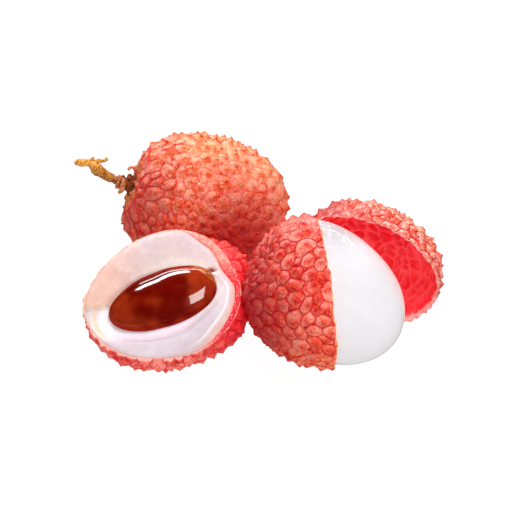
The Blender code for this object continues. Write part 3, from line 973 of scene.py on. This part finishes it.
def cut_flesh():
    """The cut fruit's flesh: the face in rings from its middle, and the bowl below it."""
    form, axes = CUT, lying_axes(CUT)
    count, rings, bowl_rings = 220, 110, 22
    turn = np.linspace(0.0, math.tau, count, endpoint=False)
    flat = np.stack([np.cos(turn), np.sin(turn), np.zeros(count)], 1)
    by_rim = (cut_rim_wall(turn)[:, None] - 0.10) * MM
    below = PEEL_WALL + 0.02 * MM
    reach = form.world_radius(flat @ axes.T) - by_rim
    shares = np.repeat((np.arange(1, rings + 1) / rings) ** 0.85, count)
    lying = np.append(np.tile(flat * reach, (rings, 1)) * shares[:, None], np.zeros((1, 3)), 0)
    shares = np.append(shares, 0.0)
    lying[:, 2], marks = face_shape(lying[:, 0], lying[:, 1], shares)
    lumps = waves(lying, 5.0, 5) * 0.10 * MM + waves(lying, 1.8, 6) * 0.03 * MM
    lying[:-1, 2] += (lumps * (1.0 - shares**8))[:-1]
    face = lying @ axes.T + form.at
    verts = [face[:-1]]
    for ring in range(1, bowl_rings):
        drop = math.pi / 2.0 * ring / bowl_rings
        share = min(1.0, ring / 4.0)
        d = (flat * math.cos(drop) - np.array((0.0, 0.0, math.sin(drop)))) @ axes.T
        verts.append(form.at + d * (form.world_radius(d) - by_rim * (1.0 - share) - below * share))
    down = -form.facing[None]
    verts = np.concatenate(verts + [face[-1:], form.at + down * (form.world_radius(down) - below)])
    attributes = {key: np.zeros(len(verts)) for key in marks}
    for key, values in marks.items():
        attributes[key][: count * rings] = values[:-1]
    faces = ring_faces(rings + bowl_rings - 1, count)
    return new_object("cut_flesh_look", verts, faces, [flesh_material("cut_flesh_wet", True)], attributes)


def seed_piece():
    """The seed: longer, blunter and fuller at the end of its scar."""
    rows, count = 71, 96
    polar, turn = polar_grid(rows, count)
    x = np.cos(polar)
    ring = np.sin(polar) ** np.where(x > 0.0, 0.78, 1.0)
    y, z = ring * np.cos(turn), ring * np.sin(turn)
    hilum = smooth(x + 0.34 * y, 0.90, 0.96)
    fuller = 1.0 + 0.08 * x
    verts = np.stack([x * (1.0 + 0.09 * np.maximum(0.0, x)), y * fuller, z * fuller], 1) * SEED_HALF
    verts = verts + unit(verts) * (waves(verts, 6.0, 9) * 0.10 * MM)[:, None]
    verts[:, 0] += hilum * waves(verts, 0.8, 8) * 0.10 * MM
    c, s = math.cos(SEED_TURN), math.sin(SEED_TURN)
    lying = np.stack([verts[:, 0] * c - verts[:, 1] * s, verts[:, 0] * s + verts[:, 1] * c, verts[:, 2]], 1)
    verts = (lying + SEED_AT) @ lying_axes(CUT).T + CUT.at
    return new_object("seed_look", verts, ring_faces(rows, count), [seed_material()], {"hilum": hilum})


def peeled_flesh():
    """The half-peeled fruit's flesh, crinkled and glossy with juice at its top, with a pink film by the loose
    peel.
    """
    form = PEELED
    rows, count = 119, 200
    polar, turn = polar_grid(rows, count)
    ways = np.stack([np.sin(polar) * np.cos(turn), np.sin(polar) * np.sin(turn), np.cos(polar)], 1)
    places = ways * (form.radius(ways) - PEEL_WALL - 0.05 * MM)[:, None]
    crinkled = bell(form.off(ways, (0.06, 0.24, 0.97)), 0.26)
    film = bell(form.off(ways, (0.30, 0.62, 0.72)), 0.22)
    lumps = waves(places, 9.0, 12) * 0.10 * MM + waves(places, 2.5, 13) * 0.025 * MM
    lumps += crinkled * waves(places, 1.3, 14, 24) * 0.22 * MM
    verts = on_table(form.world(places + ways * lumps[:, None]))
    material = flesh_material("peeled_flesh_wet", False)
    attributes = {"film": film, "darker_wet_top": crinkled**0.5}
    return new_object("peeled_flesh_look", verts, ring_faces(rows, count), [material], attributes)


def smooth_line(stations, steps):
    """The line through the stations with extra places between them, and the radius at each."""
    line = np.array(stations)[:, :3] * MM
    radii = np.array(stations)[:, 3] * MM
    last = len(line) - 1
    places, widths = [], []
    for i in range(last):
        p0, p1, p2, p3 = line[max(0, i - 1)], line[i], line[i + 1], line[min(last, i + 2)]
        for step in range(steps):
            t = step / steps
            bent = (2 * p0 - 5 * p1 + 4 * p2 - p3) * t**2 + (3 * p1 - p0 - 3 * p2 + p3) * t**3
            places.append(0.5 * (2 * p1 + (p2 - p0) * t + bent))
            widths.append(radii[i] + (radii[i + 1] - radii[i]) * smooth(t, 0.0, 1.0))
    return np.array(places + [line[-1]]), np.array(widths + [radii[-1]])


def rough_tube(stations, sides, start, end, seed):
    """A rough round tube with domed ends: its places, faces and how golden each place is."""
    line, radii = smooth_line(stations, 8)
    ways = unit(np.gradient(line, axis=0))
    across = unit(np.cross(ways[0], (0.3, 0.5, 0.81)))
    turn = np.linspace(0.0, math.tau, sides, endpoint=False)
    verts = []
    for place, way, radius in zip(line, ways, radii):
        across = unit(across - way * (across @ way))
        ring = np.cos(turn)[:, None] * across + np.sin(turn)[:, None] * np.cross(way, across)
        points = place + ring * radius
        rough = waves(points, 1.4, seed) * 0.10 + waves(points, 0.55, seed + 1) * 0.06
        verts.append(place + ring * (radius * (1.0 + rough))[:, None])
    verts.append((line[0] - ways[0] * radii[0] * 0.3)[None])
    verts.append((line[-1] + ways[-1] * radii[-1] * 0.6)[None])
    golden = np.append(np.repeat(np.linspace(start, end, len(line)), sides), (start, end))
    faces = [face[::-1] for face in ring_faces(len(line), sides)]
    return np.concatenate(verts), faces, golden


def stem_piece():
    runs = [(STEM, 32, 0.0, 1.0, 40, 0.0)]
    for i, (spur, golden, pink) in enumerate(SPURS):
        runs.append((spur, 14, golden, golden, 50 + 2 * i, pink))
    verts, faces, along, tints = [], [], [], []
    base = 0
    for stations, sides, start, end, seed, pink in runs:
        places, tube, golden = rough_tube(stations, sides, start, end, seed)
        verts.append(places)
        along.append(golden)
        tints.append(np.full(len(places), pink))
        faces += [tuple(i + base for i in face) for face in tube]
        base += len(places)
    attributes = {"along": np.concatenate(along), "pink": np.concatenate(tints)}
    return new_object("stem_look", np.concatenate(verts) + WHOLE.at, faces, [bark_material()], attributes)


# ---- the pieces


def cut_pinch(turn):
    """How far the cut fruit's rim is drawn in from its form, in mm: on the low left, and nowhere else."""
    return 1.2 * around(turn, -148.0, 46.0)


def cut_rim_wall(turn):
    """How far the cut fruit's flesh starts inside its form, in mm. The rim is thick on the right."""
    return 0.35 + 1.5 * around(turn, 14.0, 26.0) + 1.0 * around(turn, -32.0, 34.0) + cut_pinch(turn)


def cut_calm(turn):
    return 0.80 * np.maximum(around(turn, 62.0, 85.0), around(turn, -45.0, 30.0)) + 0.1


def cut_red_rim(turn):
    red = 0.12 + 0.88 * around(turn, -40.0, 34.0) + 0.3 * around(turn, 14.0, 24.0)
    return red - 0.12 * around(turn, 120.0, 60.0)


WHOLE_LOOK = dict(
    mix=(0.08, 0.50, 0.42), bevel=0.30, tip=0.60, round=0.07, tall=1.25,
    wedge=(0.75, 0.15), rough=0.07, groove=0.02,
    # Painted shade: the deep tint on the fruit's low front and its left.
    deep=(((0.40, -0.90, -0.10), 1.0, 0.90), ((-0.78, -0.48, 0.30), 0.65, 0.80)),
    # The gold tint on the top is partly a painted highlight.
    gold_and_sheen=(((0.1, 0.25, 0.96), 0.55, 0.50), ((0.8, 0.1, 0.55), 0.4, 0.4)),
)
CUT_LOOK = dict(
    mix=(0.16, 0.44, 0.42), bevel=0.3, tip=0.5, round=0.10, tall=1.15,
    deep=(((0.97, -0.06, -0.10), 1.0, 0.85), ((0.75, 0.6, 0.1), 0.8, 0.35)),
    gold_and_sheen=(((-0.95, -0.20, 0.22), 0.9, 0.34),),
    bulges=(((0.88, 0.47, 0.08), 4.4, 0.34), ((0.88, -0.12, -0.44), 1.2, 0.40)),
    calm=cut_calm, pinch=cut_pinch, rim_wall=cut_rim_wall, red_rim=cut_red_rim,
    ragged=((3, 0.06), (11, 0.06), (29, 0.05)),
)
PEELED_LOOK = dict(
    mix=(0.16, 0.64, 0.20), bevel=0.26, tip=0.60, round=0.07, tall=1.30,
    rough=0.06, groove=0.03,
    # Painted shade: the deep tint on the fruit's left side.
    deep=(((-0.96, -0.22, 0.10), 0.95, 0.95),),
    gold_and_sheen=(((-0.06, -0.88, -0.47), 0.55, 1.0),),
    # A painted highlight on the borders of the top scales.
    top_highlight=(((-0.22, 0.50, 0.84), 0.75, 0.36),),
    bulges=(((-0.93, 0.10, 0.36), 0.9, 0.45),),
    calm=0.35, rim_wall=0.80,
    ragged=((2, 0.22), (7, 0.12), (19, 0.10), (43, 0.08)),
)
LOOSE_LOOK = dict(
    mix=(0.14, 0.54, 0.32), bevel=0.28, tip=0.50, round=0.08, tall=1.3,
    deep=(((-0.6, 0.55, 0.6), 0.8, 0.45),),
    gold_and_sheen=(((0.8, 0.40, 0.4), 0.45, 0.55),),
    # A painted highlight on the borders of the top scales.
    top_highlight=(((-0.40, 0.62, 0.68), 0.8, 0.35),),
    calm=0.40, rim_wall=0.30, net=0.55, steps=44,
    ragged=((2, 0.15), (5, 0.15), (13, 0.16), (31, 0.14), (57, 0.10)),
)

whole_finish = skin_material(
    "skin_whole", light=srgb(255, 178, 150), mid=srgb(230, 22, 46), ring=srgb(240, 96, 26),
    tip=srgb(184, 26, 2), groove=srgb(196, 10, 30), speck=srgb(255, 196, 90), cream=srgb(255, 206, 130),
    dark=srgb(96, 0, 6), lit=srgb(176, 16, 20), halo=0.20, marks=1.9, cells=0.03, grain=1.0, seam=0.45,
    sparks=0.70, glow=0.12, shift=-0.04, brown=0.95,
)
cut_finish = skin_material(
    "skin_cut", light=srgb(255, 146, 138), mid=srgb(232, 22, 42), ring=srgb(226, 84, 36),
    tip=srgb(240, 130, 44), groove=srgb(170, 0, 20), speck=srgb(252, 156, 96), cream=srgb(254, 196, 172),
    dark=srgb(220, 0, 30), lit=srgb(244, 6, 38), halo=0.6, marks=1.0, cells=0.20, grain=0.45,
    sparks=0.4, glow=0.12,
)
peeled_finish = skin_material(
    "skin_peeled", light=srgb(255, 170, 154), mid=srgb(238, 26, 42), ring=srgb(226, 40, 12),
    tip=srgb(184, 16, 0), groove=srgb(170, 0, 28), speck=srgb(250, 140, 60), cream=srgb(248, 142, 34),
    dark=srgb(92, 0, 4), lit=srgb(168, 6, 12), halo=0.50, marks=2.2, cells=0.12, grain=0.75,
    sparks=0.60, glow=0.15, shift=-0.04,
)
loose_finish = skin_material(
    "skin_loose", light=srgb(255, 206, 196), mid=srgb(222, 14, 30), ring=srgb(232, 70, 22),
    tip=srgb(214, 60, 4), groove=srgb(176, 0, 24), speck=srgb(255, 200, 140), cream=srgb(252, 190, 120),
    dark=srgb(140, 0, 8), lit=srgb(208, 26, 28), halo=1.0, marks=1.6, cells=0.12, grain=0.8,
    sparks=0.85, glow=0.06,
)
pale_rim = rim_material("rim_pale", srgb(252, 200, 176), srgb(244, 120, 110))
orange_rim = rim_material("rim_orange", srgb(255, 206, 120), srgb(246, 130, 44), glow=srgb(255, 120, 20))
pink_rim = rim_material("rim_pink", srgb(252, 176, 160), srgb(236, 70, 76))
lining = lining_material()

whole = whole_skin("whole_skin_look", WHOLE, 11, WHOLE_LOOK, [whole_finish])
cut = cup("cut_peel_look", CUT, 23, CUT_OFFSET, CUT_LOOK, [cut_finish, pale_rim, lining])
peeled = cup("peeled_peel_look", PEELED, 37, PEELED_OFFSET, PEELED_LOOK, [peeled_finish, orange_rim, lining])
loose = cup("loose_peel_look", LOOSE, 53, LOOSE_OFFSET, LOOSE_LOOK, [loose_finish, pink_rim, lining])
flesh = cut_flesh()
seed = seed_piece()
bare = peeled_flesh()
stem = stem_piece()

for piece, node, slot_name in (
    (whole, "whole_fruit", "peel"),
    (cut, "cut_peel", "peel"),
    (peeled, "peeled_peel", "peel"),
    (loose, "loose_peel", "peel"),
    (flesh, "cut_flesh", "flesh"),
    (seed, "seed", "seed"),
    (bare, "peeled_flesh", "flesh"),
    (stem, "stem", "wood"),
):
    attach(piece, "root")
    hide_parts(node)

# The seed doesn't mirror the white flesh round it, which would hide its lower edge.
flesh.visible_glossy = False

# ---- floor, light and camera


def sheet_of_paper(name, height, glow):
    """A large level sheet for the stage, with its own faint glow."""
    mesh = bpy.data.meshes.new(name)
    mesh.from_pydata([(-3, -3, height), (3, -3, height), (3, 3, height), (-3, 3, height)], [], [(0, 1, 2, 3)])
    paper = Nodes(name + "_paper")
    paper.set(Base_Color=paper.mix(paper.noise(300.0, 2.0), (0.10,) * 3, (0.12,) * 3), Roughness=0.9)
    paper.set(Specular_IOR_Level=0.1, Emission_Strength=glow, Emission_Color=(1.0, 1.0, 1.0))
    paper.material.cycles.emission_sampling = "AUTO"
    sheet = placed(name, mesh, [paper.material])
    return sheet


# The floor is what the camera sees. The card under it throws soft light back up at the fruits.
floor = sheet_of_paper("floor", 0.0, 0.97)
floor.visible_diffuse = False
floor.visible_glossy = False
floor.visible_shadow = False
card = sheet_of_paper("bounce_card", -0.2 * MM, 1.10)
card.visible_camera = False
card.visible_glossy = False

world = bpy.data.worlds.new("studio")
bpy.context.scene.world = world
world.use_nodes = True
world.cycles_visibility.glossy = False
sky = world.node_tree.nodes["Background"].inputs
sky["Color"].default_value = (1.0, 1.0, 1.0, 1.0)
sky["Strength"].default_value = 0.22

# The place that the camera and the lights look at.
TARGET = Vector((-0.19, -3.28, 16.0)) * MM


def collection_of(name, pieces):
    found = bpy.data.collections.new(name)
    for piece in pieces:
        found.objects.link(piece)
    return found


# The glossy seed mirrors stronger lights than the other pieces do.
WET = collection_of("wet_pieces", (seed,))
DRY = collection_of("dry_pieces", (whole, cut, peeled, loose, flesh, bare, stem))


def soft_light(name, way, distance, width, height, power, gives, only=None):
    """A rectangular light from that way, on all pieces or only on some. It gives soft light, or gloss."""
    light = bpy.data.lights.new(name, "AREA")
    light.shape = "RECTANGLE"
    light.size = width
    light.size_y = height
    light.energy = power
    obj = placed(name, light)
    way = Vector(way).normalized()
    obj.location = TARGET + way * distance
    obj.rotation_euler = way.to_track_quat("Z", "Y").to_euler()
    obj.visible_glossy = gives == "gloss"
    obj.visible_diffuse = gives == "light"
    if only:
        obj.light_linking.receiver_collection = only


soft_light("back", (-0.30, 0.68, 0.669), 0.6, 0.52, 0.13, 2.8, "light")
soft_light("top", (0.15, -0.20, 0.96), 0.6, 0.20, 0.20, 3.0, "light")
soft_light("fill", (0.42, -0.76, 0.50), 0.8, 1.1, 0.8, 1.1, "light")
soft_light("low_fill", (0.15, -0.97, 0.10), 0.8, 1.0, 0.4, 0.6, "light")
soft_light("strip", (-0.36, 0.65, 0.669), 0.6, 0.50, 0.15, 1.8, "gloss", DRY)
soft_light("wet_strip", (-0.36, 0.65, 0.669), 0.6, 0.50, 0.15, 5.0, "gloss", WET)
soft_light("rim", (0.05, 0.93, 0.36), 0.6, 0.80, 0.08, 1.8, "gloss")
soft_light("window", (0.79, -0.56, 0.24), 0.5, 0.46, 0.36, 5.4, "gloss", WET)

ELEVATION = math.radians(42.0)
DISTANCE = 450.0 * MM
# How much the camera sees from side to side at its target.
VIEW_WIDTH = 110.08 * MM
camera = bpy.data.cameras.new("camera")
camera.sensor_width = 36.0
camera.lens = camera.sensor_width * DISTANCE / VIEW_WIDTH
camera.clip_start = 0.01
eye = placed("camera", camera)
back = Vector((0.0, -math.cos(ELEVATION), math.sin(ELEVATION)))
eye.location = TARGET + back * DISTANCE
eye.rotation_euler = back.to_track_quat("Z", "Y").to_euler()
bpy.context.scene.camera = eye
bpy.context.scene.view_settings.view_transform = "Standard"
